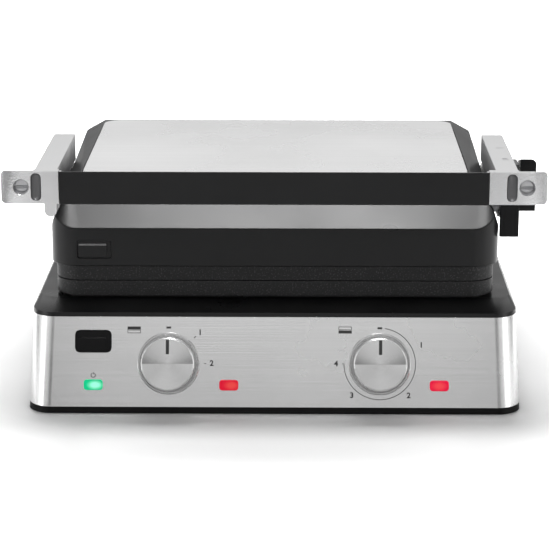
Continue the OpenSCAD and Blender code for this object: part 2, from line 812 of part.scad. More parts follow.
module lid_top_panel() {
  color(steel) from_front() plan_block(top_w / 2, 60, 266.5, 14, 166.2, lid_top);
}

module upper_reflector() {
  color(metal) from_front() difference() {
    union() {
      plan_block(150, 60, 286, 12, 104, 128);
      plan_block(156, 56.5, 290.5, 12, lid_z0 + 2, lid_z0 + 2.8);
    }
    plan_block(149, 61, 285, 11, 90, 127);
    for (x = [-20, 20]) translate([x, 250, 110]) cylinder(r = 4, h = 30);
  }
  // Tabs that hold the rear of the upper plate
  color(metal) from_front() for (x = [-90, 90]) translate([x - 5.5, 285, 0]) {
    translate([0, 0, 100.5]) cube([11, 1, 4]);
    translate([0, 0, 100.5]) cube([11, 7.5, 0.9]);
  }
}

module upper_element() { color([0.35, 0.34, 0.36]) from_front() element(110, 136); }

module upper_plate() {
  color([0.15, 0.15, 0.16]) from_front() translate([0, 0, upper_z0 + upper_z1]) mirror([0, 0, 1])
    plate_form(upper_z0, 98.2, 95.2, upper_z1, 2.8, 288);
}

module thermal_cutout() {
  color([0.85, 0.83, 0.78]) from_front() translate([60, 170, 128.1]) {
    cylinder(r = 9, h = 5);
    cylinder(r = 6, h = 10);
  }
}

module lid_hinge_straps() {
  color(metal) from_front() for (s = [0, 1]) mirror([s, 0, 0]) difference() {
    union() {
      side_cut(133, 147) {
        translate([hinge_y, hinge_z]) circle(10);
        translate([lid_back + 0.3, hinge_z]) square([hinge_y - lid_back, 10]);
        translate([lid_back + 0.3, hinge_z]) square([3, 34]);
      }
      for (z = [113, 124]) translate([140, lid_back, z]) rotate([90, 0, 0]) {
        translate([0, 0, -5.5]) cylinder(r = 3.6, h = 2.4);
        translate([0, 0, -4]) cylinder(r = 2, h = 10);
      }
    }
    rod_x(hinge_r + fit, 120, 160, hinge_y, hinge_z);
  }
}

module guide_pins() {
  color(metal) from_front() for (s = [0, 1]) mirror([s, 0, 0]) {
    rod_x(guide_r, 160, s == 0 ? 177.2 : cap_x + lobe_t - 0.3, pin_y, pin_z);
    rod_x(guide_r + 2.5, 158, 160.1, pin_y, pin_z);
  }
}

module lid_release_button() {
  color([0.07, 0.07, 0.075]) from_front() translate([-button_x, lid_front, lid_button_z]) rotate([90, 0, 0]) {
    pill(24.8, 12.8, 2.8, -3.4, 0.6);
    pill(29, 16.6, 3, -5, -2.9);
    pill(7, 7, 0.8, -9, -4);
  }
}

module lid_latch_hook() {
  y0 = 44.2;
  color(metal) from_front() translate([-button_x - 5, 0, 0]) {
    translate([0, y0, upper_z1 - 2.3]) cube([10, 1.6, 19]);
    translate([0, y0 - 3.2, upper_z1 - 2.3]) cube([10, 4, 1.2]);
  }
}

module lid_button_spring() {
  color(metal) from_front() translate([-button_x, 59.7, lid_button_z]) rotate([90, 0, 0])
    coil(3.5, 0.4, 6, 13.6);
}

base_pan();
base_deck();
control_panel();
control_frame();
rubber_feet();
base_screws();
lower_reflector();
lower_element();
lower_element_bushings();
lower_plate();
plate_hooks();
grease_spout();
left_thermostat();
right_thermostat();
indicator_board();
indicator_lamps();
power_lens();
left_ready_lens();
right_ready_lens();
terminal_block();
cord_gland();
left_dial_ring();
right_dial_ring();
left_hinge_bracket();
right_hinge_bracket();
base_button_spring();
left_dial();
left_dial_cap();
left_dial_pointer();
left_dial_shaft();
right_dial();
right_dial_cap();
right_dial_pointer();
right_dial_shaft();
base_release_button();
base_latch_hook();
drip_tray();
left_hinge_pin();
right_hinge_pin();
left_arm();
right_arm();
left_bracket();
right_bracket();
handle_bar();
handle_back();
handle_screws();
adjuster_housing();
adjuster_slide();
adjuster_thumb();
lid_shell();
lid_top_panel();
upper_reflector();
upper_element();
upper_plate();
thermal_cutout();
lid_hinge_straps();
guide_pins();
lid_release_button();
lid_latch_hook();
lid_button_spring();
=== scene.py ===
# %% [markdown]
# # Electric indoor grill with a hinged lid
# The CAD frame says where everything is and how it moves. This lesson gives the grill its looks: rounded
# edges, brushed, cast, moulded and coated surfaces, printed marks, soft light and the camera. Every finished
# piece sits at the origin with its place in its mesh, and rides on one of the frame's bodies.

import json
import math

import bmesh
import bpy
from mathutils import Matrix, Vector

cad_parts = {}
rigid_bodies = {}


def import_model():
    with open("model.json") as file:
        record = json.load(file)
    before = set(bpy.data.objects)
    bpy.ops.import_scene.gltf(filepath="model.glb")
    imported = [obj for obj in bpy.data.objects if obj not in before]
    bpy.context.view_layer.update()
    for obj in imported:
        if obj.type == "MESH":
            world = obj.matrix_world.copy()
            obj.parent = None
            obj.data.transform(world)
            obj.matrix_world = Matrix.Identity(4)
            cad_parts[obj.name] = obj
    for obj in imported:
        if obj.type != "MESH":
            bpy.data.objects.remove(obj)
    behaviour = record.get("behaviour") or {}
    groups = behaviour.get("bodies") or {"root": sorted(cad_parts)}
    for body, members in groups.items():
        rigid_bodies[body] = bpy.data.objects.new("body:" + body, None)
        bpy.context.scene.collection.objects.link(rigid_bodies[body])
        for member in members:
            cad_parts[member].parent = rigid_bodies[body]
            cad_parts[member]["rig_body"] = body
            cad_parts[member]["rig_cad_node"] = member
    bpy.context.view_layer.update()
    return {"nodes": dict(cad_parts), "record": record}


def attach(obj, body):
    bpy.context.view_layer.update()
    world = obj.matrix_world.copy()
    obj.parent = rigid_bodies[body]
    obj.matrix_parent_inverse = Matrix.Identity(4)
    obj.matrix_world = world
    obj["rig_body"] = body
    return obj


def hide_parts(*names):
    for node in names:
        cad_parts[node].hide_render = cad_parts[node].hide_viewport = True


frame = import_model()

# %% [markdown]
# Sizes are easier to read in millimetres, and depths are easier to read from the foot of the control panel,
# which stands 164 mm in front of the middle. One helper turns such a place into metres in the frame, and two
# more say how a piece is turned that lies on the sloping panel or faces the front.

# %% Places
PANEL_FOOT = 164
PANEL_LOW = 5
PANEL_LEAN = math.radians(16)
QUARTER_TURN = math.radians(90)
DIAL_X, DIAL_Z = 78, 36
BUTTON_X = 133.8


def at(x, y, z):
    """A place in millimetres, its depth counted from the control panel's foot, in the frame's metres."""
    return Vector((x, y - PANEL_FOOT, z)) / 1000


def on_panel(x, z):
    """Puts a piece on the sloping panel: its own X right, Y up the slope and Z out of the face."""
    place = at(x, (z - PANEL_LOW) * math.tan(PANEL_LEAN), z)
    return Matrix.Translation(place) @ Matrix.Rotation(QUARTER_TURN - PANEL_LEAN, 4, "X")


def on_front(x, y, z):
    """Puts a piece so that it faces the front: its own X right, Y up and Z forwards."""
    return Matrix.Translation(at(x, y, z)) @ Matrix.Rotation(QUARTER_TURN, 4, "X")


print("dial centre", [round(v, 4) for v in on_panel(-DIAL_X, DIAL_Z).translation])

# %% [markdown]
# ## The camera
# A long lens about 1.6 m away looks some 15 degrees down, so the box keeps nearly parallel edges. The focal
# length comes from the edges that run away from the camera, and the knobs, which look exactly round.

# %% Camera
bpy.ops.object.camera_add(location=(0.01704, -1.63388, 0.5110))
camera = bpy.context.object
camera.rotation_euler = (math.radians(90 - 15.376), 0, math.radians(0.65))
camera.data.lens = 137.7
camera.data.sensor_width = 36
camera.data.clip_end = 20
bpy.context.scene.camera = camera
print("camera", [round(v, 3) for v in camera.location])

# %% [markdown]
# ## Working helpers
# Operators act on whatever is selected, so each helper first clears the selection and then picks faces or
# edges by where they are or which way they face.


# %% Selecting
def select_only(piece):
    bpy.ops.object.select_all(action="DESELECT")
    piece.select_set(True)
    bpy.context.view_layer.objects.active = piece


def edit(piece):
    select_only(piece)
    bpy.ops.object.mode_set(mode="EDIT")
    bpy.ops.mesh.select_all(action="DESELECT")


def leave():
    bpy.ops.object.mode_set(mode="OBJECT")


def pick_faces(piece, test):
    """Selects the faces whose middle and normal pass the test."""
    bpy.ops.mesh.select_mode(type="FACE")
    bpy.ops.mesh.select_all(action="DESELECT")
    shape = bmesh.from_edit_mesh(piece.data)
    for face in shape.faces:
        face.select_set(bool(test(face.calc_center_median(), face.normal)))
    bmesh.update_edit_mesh(piece.data)


def pick_edges(piece, test):
    """Selects the edges whose middle and direction pass the test."""
    bpy.ops.mesh.select_mode(type="EDGE")
    bpy.ops.mesh.select_all(action="DESELECT")
    shape = bmesh.from_edit_mesh(piece.data)
    for edge in shape.edges:
        a, b = edge.verts[0].co, edge.verts[1].co
        if (b - a).length > 1e-9:
            edge.select_set(bool(test((a + b) / 2, (b - a).normalized())))
    bmesh.update_edit_mesh(piece.data)


# %% [markdown]
# A block is a cube added at its size. A rounded slab is a block whose upright edges are bevelled by the
# corner radius. Its small edges are softened at the end with a Bevel modifier, because real moulded and
# pressed parts always catch a thin line of light along their edges.


# %% Blocks
def name_it(name):
    piece = bpy.context.object
    piece.name = piece.data.name = name
    return piece


def settle(name):
    """Names the newest object and settles its place, turn and size into its mesh."""
    bpy.ops.object.transform_apply(location=True, rotation=True, scale=True)
    return name_it(name)


def cube(name, middle, size, turn=(0, 0, 0)):
    """A cube whose middle and size are in millimetres, for a piece that is made at the origin."""
    bpy.ops.mesh.primitive_cube_add(size=1, location=Vector(middle) / 1000, scale=Vector(size) / 1000,
                                    rotation=turn)
    return settle(name)


def block(name, low, high):
    """A block between two corners at their places in the grill."""
    a, b = at(*low), at(*high)
    bpy.ops.mesh.primitive_cube_add(size=1, location=(a + b) / 2, scale=b - a)
    return settle(name)


def rounded_slab(name, half_width, front, back, radius, low, high, steps):
    piece = block(name, (-half_width, front, low), (half_width, back, high))
    edit(piece)
    pick_edges(piece, lambda middle, way: abs(way.z) > 0.9)
    bpy.ops.mesh.bevel(offset=radius / 1000, segments=steps, affect="EDGES")
    leave()
    return piece


# %% [markdown]
# Most shapes are finished in three ways: a modifier is applied, edges are rounded, or one shape is joined to
# or taken out of another.

# %% Modifiers
SMOOTH_ANGLE = math.radians(32)


def apply_modifier(piece, kind, **values):
    select_only(piece)
    modifier = piece.modifiers.new(kind.lower(), kind)
    for key, value in values.items():
        setattr(modifier, key, value)
    bpy.ops.object.modifier_apply(modifier=modifier.name)


def shade(piece):
    """Smooths the shading, and lets the large faces set it."""
    bpy.ops.object.shade_smooth_by_angle(angle=SMOOTH_ANGLE)
    apply_modifier(piece, "WEIGHTED_NORMAL", keep_sharp=True)


def soften(piece, width, segments=2, angle=28):
    """Rounds every edge sharper than the angle, and shades the piece."""
    apply_modifier(piece, "BEVEL", width=width / 1000, segments=segments, limit_method="ANGLE",
                   angle_limit=math.radians(angle))
    shade(piece)
    return piece


def combine(piece, tool, operation):
    """Joins the tool's shape to the piece, or cuts the piece with it, and throws the tool away."""
    apply_modifier(piece, "BOOLEAN", object=tool, operation=operation, solver="EXACT")
    bpy.data.objects.remove(tool)
    return piece


def cut_out(piece, tool):
    return combine(piece, tool, "DIFFERENCE")


# %% [markdown]
# Turned parts start as a disc. The disc is pushed out and resized ring by ring, as a lathe profile is read
# from the back of the part to its face.


# %% Turning and placing
def turned(name, rings, steps=96):
    """rings is a list of (height, radius) in millimetres, from the first disc to the last."""
    height, radius = rings[0]
    bpy.ops.mesh.primitive_circle_add(vertices=steps, radius=radius / 1000, fill_type="NGON",
                                      location=(0, 0, height / 1000))
    piece = settle(name)
    edit(piece)
    bpy.ops.mesh.select_all(action="SELECT")
    for next_height, next_radius in rings[1:]:
        move = {"value": (0, 0, (next_height - height) / 1000)}
        bpy.ops.mesh.extrude_region_move(TRANSFORM_OT_translate=move)
        bpy.ops.transform.resize(value=(next_radius / radius, next_radius / radius, 1),
                                 center_override=(0, 0, next_height / 1000))
        height, radius = next_height, next_radius
    bpy.ops.mesh.select_all(action="SELECT")
    bpy.ops.mesh.remove_doubles(threshold=1e-6)
    bpy.ops.mesh.normals_make_consistent(inside=False)
    leave()
    return piece


def put(piece, matrix):
    """Moves a piece and settles the move into its mesh."""
    select_only(piece)
    piece.matrix_world = matrix
    bpy.ops.object.transform_apply(location=True, rotation=True, scale=True)
    return piece


def finish(piece, body, material, slot, *replaced):
    """Gives a piece its material and body, and hides the CAD nodes it stands for."""
    piece.data.materials.clear()
    piece.data.materials.append(material)
    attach(piece, body)
    if replaced:
        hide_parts(*replaced)
    return piece


# %% [markdown]
# Many nodes already have the right shape, but with knife-sharp edges. A copy is merged into whole faces, its
# edges are rounded, and it stands in for the node, which itself is never touched.

# %% Rounded copies
BODIES = frame["record"]["behaviour"]["bodies"]
BODY_OF = {node: body for body, members in BODIES.items() for node in members}
SLOT_OF = {part["node"]: part["material_slot"] for part in frame["record"]["subparts"]}


def rounded_copy(label, width, material, segments=2):
    select_only(frame["nodes"][label])
    bpy.ops.object.duplicate()
    piece = name_it(label + "_piece")
    piece.parent = None
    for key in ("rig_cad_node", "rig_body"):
        del piece[key]
    edit(piece)
    bpy.ops.mesh.select_all(action="SELECT")
    bpy.ops.mesh.remove_doubles(threshold=1e-6)
    bpy.ops.mesh.dissolve_limited(angle_limit=math.radians(0.4))
    leave()
    soften(piece, width, segments)
    return finish(piece, BODY_OF[label], material, SLOT_OF[label], label)


print("helpers ready")

# %% [markdown]
# ## Surface effects
# Each effect is a small node group, built once: lines left by a brush, patches where a surface is a little
# more or less polished, the fine tooth of moulded plastic, speckles in a coating, and a mask for edges that
# hands and cloths have rubbed. They only put out numbers, and each material decides what to do with them.


# %% Node helpers
def node(tree, kind, links=None, **values):
    """Adds a node, sets its properties, and fills or links its sockets by name or number."""
    made = tree.nodes.new(kind)
    for key, value in values.items():
        setattr(made, key, value)
    for socket, value in (links or {}).items():
        if isinstance(value, bpy.types.NodeSocket):
            tree.links.new(value, made.inputs[socket])
        else:
            made.inputs[socket].default_value = value
    return made


def calc(tree, operation, a, b=0.0):
    return node(tree, "ShaderNodeMath", {0: a, 1: b}, operation=operation).outputs[0]


def times(tree, a, b):
    """One vector or colour multiplied by another."""
    return node(tree, "ShaderNodeVectorMath", {0: a, 1: b}, operation="MULTIPLY").outputs[0]


def length(tree, a):
    return node(tree, "ShaderNodeVectorMath", {0: a}, operation="LENGTH").outputs["Value"]


def remap(tree, value, start, end, low=0.0, high=1.0, curve="LINEAR"):
    """Turns start into low and end into high, and holds the value outside them."""
    return node(tree, "ShaderNodeMapRange", {0: value, 1: start, 2: end, 3: low, 4: high},
                interpolation_type=curve).outputs[0]


def blend(tree, factor, a, b):
    """Goes from colour a to colour b with the factor."""
    return node(tree, "ShaderNodeMix", {"Factor": factor, "A": a, "B": b}, data_type="RGBA").outputs["Result"]


def object_place(tree):
    return node(tree, "ShaderNodeTexCoord").outputs["Object"]


# %% Node groups
def new_group(name, inputs, outputs):
    tree = bpy.data.node_groups.new(name, "ShaderNodeTree")
    for label, kind, value in inputs:
        socket = tree.interface.new_socket(label, in_out="INPUT", socket_type="NodeSocket" + kind)
        if value is not None:
            socket.default_value = value
    for label in outputs:
        tree.interface.new_socket(label, in_out="OUTPUT", socket_type="NodeSocketFloat")
    return tree, tree.nodes.new("NodeGroupInput").outputs, tree.nodes.new("NodeGroupOutput").inputs


def noise(tree, place, scale, detail, **more):
    """The cloudy grey value of a noise texture."""
    sockets = {"Vector": place, "Scale": scale, "Detail": detail, **more}
    return node(tree, "ShaderNodeTexNoise", sockets).outputs["Fac"]


# %% Brush lines
brush_lines, given, result = new_group(
    "Brush lines", [("Place", "Vector", None), ("Stretch", "Vector", (8.0, 1500.0, 1500.0))],
    ["Lines", "Long streaks"])
stretched = times(brush_lines, given["Place"], given["Stretch"])
brush_lines.links.new(noise(brush_lines, stretched, 1.0, 3.0), result["Lines"])
brush_lines.links.new(noise(brush_lines, stretched, 0.22, 2.0), result["Long streaks"])
print("group", brush_lines.name)

# %% Patches, tooth and speckles
patches, given, result = new_group("Polish patches", [("Place", "Vector", None), ("Scale", "Float", 14.0)],
                                   ["Patch"])
cloud = noise(patches, given["Place"], given["Scale"], 4.0, Roughness=0.6)
patches.links.new(cloud, result["Patch"])

tooth, given, result = new_group("Moulded tooth", [("Place", "Vector", None), ("Scale", "Float", 1400.0)],
                                 ["Height"])
grit = noise(tooth, given["Place"], given["Scale"], 2.0)
pits = node(tooth, "ShaderNodeTexVoronoi", {"Vector": given["Place"], "Scale": given["Scale"]})
grain = calc(tooth, "ADD", calc(tooth, "MULTIPLY", grit, 0.6),
             calc(tooth, "MULTIPLY", pits.outputs["Distance"], 0.4))
tooth.links.new(grain, result["Height"])

speckles, given, result = new_group(
    "Coating speckles", [("Place", "Vector", None), ("Scale", "Float", 900.0)], ["Speckle", "Height"])
dots = noise(speckles, given["Place"], given["Scale"], 1.0)
speckles.links.new(remap(speckles, dots, 0.58, 0.68), result["Speckle"])
speckles.links.new(dots, result["Height"])
print("groups", [g.name for g in bpy.data.node_groups])

# %% Rubbed edges
rubbed_edges, given, result = new_group("Rubbed edges", [("Radius", "Float", 0.0008)], ["Mask"])
round_normal = node(rubbed_edges, "ShaderNodeBevel", {"Radius": given["Radius"]}, samples=4).outputs[0]
plain_normal = node(rubbed_edges, "ShaderNodeNewGeometry").outputs["Normal"]
same = node(rubbed_edges, "ShaderNodeVectorMath", {0: round_normal, 1: plain_normal}, operation="DOT_PRODUCT")
rubbed_edges.links.new(remap(rubbed_edges, same.outputs["Value"], 0.985, 0.86), result["Mask"])
print("group", rubbed_edges.name)

# %% [markdown]
# ## Finishes
# Almost every finish on the grill is one recipe with different numbers: a base colour that drifts a little
# in patches, a roughness that drifts with it, a fine relief, and edges that have been rubbed brighter.

# %% Finish recipe
EDGE_WEAR_RADIUS = 0.0007
RELIEF_DEPTH = 0.0003


def new_material(name):
    """A new material, with its node tree and its Principled shader."""
    material = bpy.data.materials.new(name)
    material.use_nodes = True
    return material, material.node_tree, material.node_tree.nodes["Principled BSDF"]


def group_in(tree, group, **sockets):
    return node(tree, "ShaderNodeGroup", sockets, node_tree=group).outputs


def lighter(colour, step):
    return [min(1.0, c + step) for c in colour] + [1]


def make_finish(name, colour, roughness, metallic=0.0, drift=0.06, patch_scale=14.0, relief=0.02,
                relief_scale=1400.0, stretch=None, line_contrast=0.0, rubbed=0.0, speckle=0.0,
                specular=0.5, spread=0.06):
    material, tree, shader = new_material(name)
    shader.inputs["Metallic"].default_value = metallic
    shader.inputs["Specular IOR Level"].default_value = specular
    place = object_place(tree)
    patch = group_in(tree, patches, Place=place, Scale=patch_scale)[0]
    light = [min(1.0, c * (1 + drift)) for c in colour] + [1]
    deep = [c * (1 - drift) for c in colour] + [1]
    colour_out = blend(tree, patch, deep, light)
    rough_out = remap(tree, patch, 0.3, 0.7, roughness - spread, roughness + spread)
    if stretch:
        lines = group_in(tree, brush_lines, Place=place, Stretch=stretch)
        height = lines["Lines"]
        streaks = calc(tree, "MULTIPLY", lines["Long streaks"], line_contrast)
        colour_out = times(tree, colour_out, calc(tree, "ADD", streaks, 1 - line_contrast / 2))
    elif speckle:
        specks = group_in(tree, speckles, Place=place, Scale=relief_scale)
        height = specks["Height"]
        colour_out = blend(tree, specks["Speckle"], colour_out, lighter(colour, speckle))
    else:
        height = group_in(tree, tooth, Place=place, Scale=relief_scale)[0]
    if rubbed:
        edge = group_in(tree, rubbed_edges, Radius=EDGE_WEAR_RADIUS)[0]
        colour_out = blend(tree, calc(tree, "MULTIPLY", edge, patch), colour_out, lighter(colour, rubbed))
    bump = node(tree, "ShaderNodeBump", {"Strength": relief, "Distance": RELIEF_DEPTH, "Height": height})
    tree.links.new(colour_out, shader.inputs["Base Color"])
    tree.links.new(rough_out, shader.inputs["Roughness"])
    tree.links.new(bump.outputs[0], shader.inputs["Normal"])
    return material


# %% [markdown]
# Metals first. The panel and the lid's top are brushed from side to side, so their lines are stretched along
# X. The arms and brackets are cast and lightly satin, and the small inner parts are plain plated steel.

# %% Metals
panel_steel = make_finish("Brushed panel steel", (0.68, 0.68, 0.68), 0.24, 1.0, 0.03, 9.0, 0.1,
                          stretch=(10.0, 2200.0, 2200.0), line_contrast=0.12)
top_steel = make_finish("Brushed top steel", (0.75, 0.75, 0.75), 0.3, 1.0, 0.03, 8.0, 0.1,
                        stretch=(10.0, 2400.0, 2400.0), line_contrast=0.1)
cast_alloy = make_finish("Satin cast alloy", (0.6, 0.6, 0.605), 0.2, 1.0, 0.1, 14.0, 0.12, 900.0, rubbed=0.2)
dial_side = make_finish("Satin dial side", (0.62, 0.62, 0.62), 0.25, 1.0, 0.03, 40.0, 0.04, 1800.0)
bright_ring = make_finish("Bright ring", (0.66, 0.66, 0.66), 0.22, 1.0, 0.02, 40.0, 0.02, 1800.0)
# The scoop's dark grey is painted shade, for the shade and dark reflections inside the recess.
scoop_painted_shade = make_finish("Scoop with painted shade", (0.15, 0.15, 0.153), 0.5, 0.7, 0.08, 60.0, 0.3, 1100.0)
zinc_steel = make_finish("Plated steel", (0.5, 0.5, 0.51), 0.36, 1.0, 0.1, 45.0, 0.08, 700.0, rubbed=0.15)
bright_sheet = make_finish("Reflector sheet", (0.6, 0.6, 0.61), 0.3, 1.0, 0.08, 20.0, 0.06,
                           stretch=(40.0, 900.0, 900.0), line_contrast=0.1)
heater_tube = make_finish("Heat darkened tube", (0.16, 0.13, 0.12), 0.42, 0.9, 0.3, 25.0, 0.06, 900.0)
print("metals", len(bpy.data.materials))

# %% [markdown]
# The dark finishes differ mostly in how they catch light: the lid is satin and picks up a broad sheen, the
# deck is deeper, the pan is dull, the buttons and the adjuster shine, and the plates carry a speckled
# non-stick coating.

# %% Dark finishes
lid_black = make_finish("Satin lid black", (0.014, 0.014, 0.0145), 0.3, 0.0, 0.15, 12.0, 0.04, 1500.0,
                        rubbed=0.02, specular=0.2, spread=0.03)
handle_black = make_finish("Handle black", (0.014, 0.014, 0.0145), 0.42, 0.0, 0.15, 18.0, 0.05, 1500.0,
                           rubbed=0.02, specular=0.22)
deck_black = make_finish("Deck black", (0.006, 0.006, 0.0065), 0.3, 0.0, 0.2, 14.0, 0.05, 1300.0,
                         rubbed=0.015, specular=0.3)
pan_black = make_finish("Pan black", (0.004, 0.004, 0.0042), 0.5, 0.0, 0.2, 50.0, 0.05, 900.0, specular=0.12)
gloss_black = make_finish("Gloss black", (0.005, 0.005, 0.0055), 0.22, 0.0, 0.2, 50.0, 0.02, 1500.0,
                          specular=0.15)
plate_coating = make_finish("Speckled coating", (0.011, 0.011, 0.0115), 0.5, 0.0, 0.2, 30.0, 0.2, 850.0,
                            speckle=0.035, specular=0.25)
rubber = make_finish("Rubber", (0.018, 0.018, 0.018), 0.75, 0.0, 0.2, 40.0, 0.2, 900.0, specular=0.3)
dark_plastic = make_finish("Dark plastic", (0.045, 0.045, 0.047), 0.5, 0.0, 0.1, 30.0, 0.1, 1300.0)
cream = make_finish("Cream insulator", (0.72, 0.68, 0.58), 0.6, 0.0, 0.08, 50.0, 0.12, 900.0)
board_green = make_finish("Board green", (0.02, 0.11, 0.045), 0.35, 0.0, 0.15, 80.0, 0.05, 900.0)
ink = make_finish("Printed ink", (0.03, 0.03, 0.03), 0.55, 0.0, 0.1, 200.0, 0.02, 1500.0)
print("finishes", len(bpy.data.materials))

# %% [markdown]
# ## Indicator lenses
# A lens is a glossy coloured window with a lamp close behind it, so its colour is palest over the lamp and
# deeper towards the edge. The glow is a soft round spot read from the lens's own place, mixed into the
# emission colour.

# %% Lens finish
LENS_Z = 20.6
GLOW_SQUEEZE = (150.0, 60.0, 260.0)


def lens_finish(name, lamp_x, edge, core, strength):
    material, tree, shader = new_material(name)
    shader.inputs["Roughness"].default_value = 0.3
    shader.inputs["Specular IOR Level"].default_value = 0.3
    shader.inputs["Emission Strength"].default_value = strength
    middle = on_panel(lamp_x, LENS_Z).translation
    local = node(tree, "ShaderNodeMapping", {"Vector": object_place(tree), "Location": -middle}).outputs[0]
    glow = remap(tree, length(tree, times(tree, local, GLOW_SQUEEZE)), 0.2, 1.05, 1.0, 0.0, "SMOOTHSTEP")
    tint = blend(tree, glow, (*edge, 1), (*core, 1))
    tree.links.new(tint, shader.inputs["Emission Color"])
    tree.links.new(tint, shader.inputs["Base Color"])
    return material


lens_green = lens_finish("Lit green lens", -132.4, (0.0, 0.47, 0.2), (0.3, 0.88, 0.62), 0.8)
lens_red_left = lens_finish("Lit red lens left", -31.5, (0.6, 0.002, 0.025), (0.72, 0.055, 0.05), 0.7)
lens_red_right = lens_finish("Lit red lens right", 122.0, (0.66, 0.003, 0.04), (0.75, 0.05, 0.06), 0.75)
print("lens finishes ready")

# %% [markdown]
# ## Spun dial faces
# A turned metal face carries fine rings, so light smears along its radius. Its UV map counts the angle along
# U and the radius along V; the tangent follows the rings, and a Principled shader with anisotropy smears the
# light. Its colour also holds a painted reflection: two dark sectors just above the level diameter, a sharp
# line along it and a paler lower half, stronger towards the rim.

# %% Spun face finish
# Stops of a ramp over the angle: a painted reflection, dark sectors above the level diameter, paler below.
PAINTED_REFLECTION_STOPS = ((0.02, 0.34), (0.07, 0.52), (0.13, 0.6), (0.25, 0.62), (0.37, 0.6), (0.43, 0.52), (0.48, 0.34),
           (0.499, 0.3), (0.502, 0.66), (0.6, 0.6), (0.75, 0.62), (0.9, 0.6))
spun_face_with_painted_reflection, tree, shader = new_material("Spun dial face with painted reflection")
shader.inputs["Metallic"].default_value = 1.0
shader.inputs["Anisotropic"].default_value = 0.45
shader.inputs["Anisotropic Rotation"].default_value = 0.25
uv = node(tree, "ShaderNodeUVMap", uv_map="spin").outputs[0]
angle, radius = node(tree, "ShaderNodeSeparateXYZ", {0: uv}).outputs[:2]
painted_reflection_ramp = node(tree, "ShaderNodeValToRGB", {"Fac": angle})
stops = painted_reflection_ramp.color_ramp.elements
stops[0].position, stops[0].color = 0.0, (0.36, 0.36, 0.36, 1)
stops[1].position, stops[1].color = 1.0, (0.72, 0.72, 0.72, 1)
for spot, grey in PAINTED_REFLECTION_STOPS:
    stops.new(spot).color = (grey, grey, grey, 1)
# The painted reflection grows from the middle of the face towards its rim.
outward = remap(tree, radius, 2.0, 17.0, 0.25, 1.0)
painted_reflection = blend(tree, outward, (0.6, 0.6, 0.6, 1), painted_reflection_ramp.outputs[0])
print("material", spun_face_with_painted_reflection.name, "stops", len(stops))

# %% Rings of the spun face
rings = node(tree, "ShaderNodeTexNoise", {"W": radius, "Scale": 9.0, "Detail": 4.0},
             noise_dimensions="1D").outputs["Fac"]
ring_shade = calc(tree, "ADD", calc(tree, "MULTIPLY", rings, 0.16), 0.92)
tangent = node(tree, "ShaderNodeTangent", direction_type="UV_MAP", uv_map="spin")
bump = node(tree, "ShaderNodeBump", {"Strength": 0.08, "Distance": 0.0002, "Height": rings})
tree.links.new(times(tree, painted_reflection, ring_shade), shader.inputs["Base Color"])
tree.links.new(remap(tree, rings, 0.3, 0.7, 0.24, 0.36), shader.inputs["Roughness"])
tree.links.new(tangent.outputs[0], shader.inputs["Tangent"])
tree.links.new(bump.outputs[0], shader.inputs["Normal"])
print("links", len(tree.links))

# %% [markdown]
# ## Lid shell
# The lid is a moulded box with vertical skirts, a broad sloping face at the front and sloping sides that
# rise a little to the rear. A slab with rounded corners is sliced by one plane for each sloping face, and a
# wedge is taken out behind the handle, where the fingers need room. Made once larger and once smaller, the
# same form gives the outside and the hollow.

# %% Lid form
LID_HALF, LID_FRONT, LID_BACK, LID_TOP = 167, 35, 296, 166
LID_CORNER = 20
LID_SKIRT_FOOT = 103.3
LID_WALL = 2.4
RISE = math.radians(2.8)
SLICES = [((0, LID_BACK, 150), (0, 16, 18)), ((0, 0, LID_TOP), (0, 0, 1))]
for side in (-1, 1):
    SLICES.append(((side * LID_HALF, 160, 136), (side * 13.5, -4.7 * math.sin(RISE), 4.7 * math.cos(RISE))))
    SLICES.append(((side * 162.3, 160, 149.5), (side * 24.5, -19 * math.sin(RISE), 19 * math.cos(RISE))))
    SLICES.append(((side * 146, 160, LID_TOP), (side * 36.2, 0, 54)))


def slice_off(piece, point, outward, shift):
    """Cuts a piece by a plane that is moved along its own direction by a shift in millimetres."""
    outward = Vector(outward).normalized()
    bpy.ops.mesh.select_all(action="SELECT")
    bpy.ops.mesh.bisect(plane_co=at(*point) + outward * shift / 1000, plane_no=outward, use_fill=True,
                        clear_outer=True)


def lid_form(name, inset, low):
    """The lid's outline with every face moved in by an inset."""
    piece = rounded_slab(name, LID_HALF - inset, LID_FRONT + inset, LID_BACK - inset, LID_CORNER - inset, low,
                         180, 14)
    edit(piece)
    for point, outward in SLICES:
        slice_off(piece, point, outward, -inset)
    leave()
    wedge = block("wedge", (-200, 20, 120), (200, 64, 175))
    edit(wedge)
    slice_off(wedge, (0, LID_FRONT, 132), (0, 20, -21), inset)
    slice_off(wedge, (0, LID_FRONT + 23, LID_TOP), (0, 14, -2), inset)
    leave()
    return cut_out(piece, wedge)


print("lid slices", len(SLICES))

# %% Lid shell
lid = soften(lid_form("lid_shell_piece", 0, LID_SKIRT_FOOT), 0.9, 3, 12)
cut_out(lid, lid_form("lid_hollow", LID_WALL, 100))
mouth = block("mouth", (-146.6, 30, 109), (-121, LID_FRONT + LID_WALL, 122.6))
cut_out(lid, soften(mouth, 1.6, 3))
cut_out(lid, rounded_slab("groove", 145.7, 58.8, 267.7, 15, 164.4, 167, 12))
shade(lid)
finish(lid, "lid", lid_black, "black_enamel", "lid_shell")
print("lid shell faces", len(lid.data.polygons))

# %% [markdown]
# The steel top is a thin plate with rounded corners, lying in a shallow groove on the lid. The groove is a
# little wider than the plate, so that a dark line runs round it.

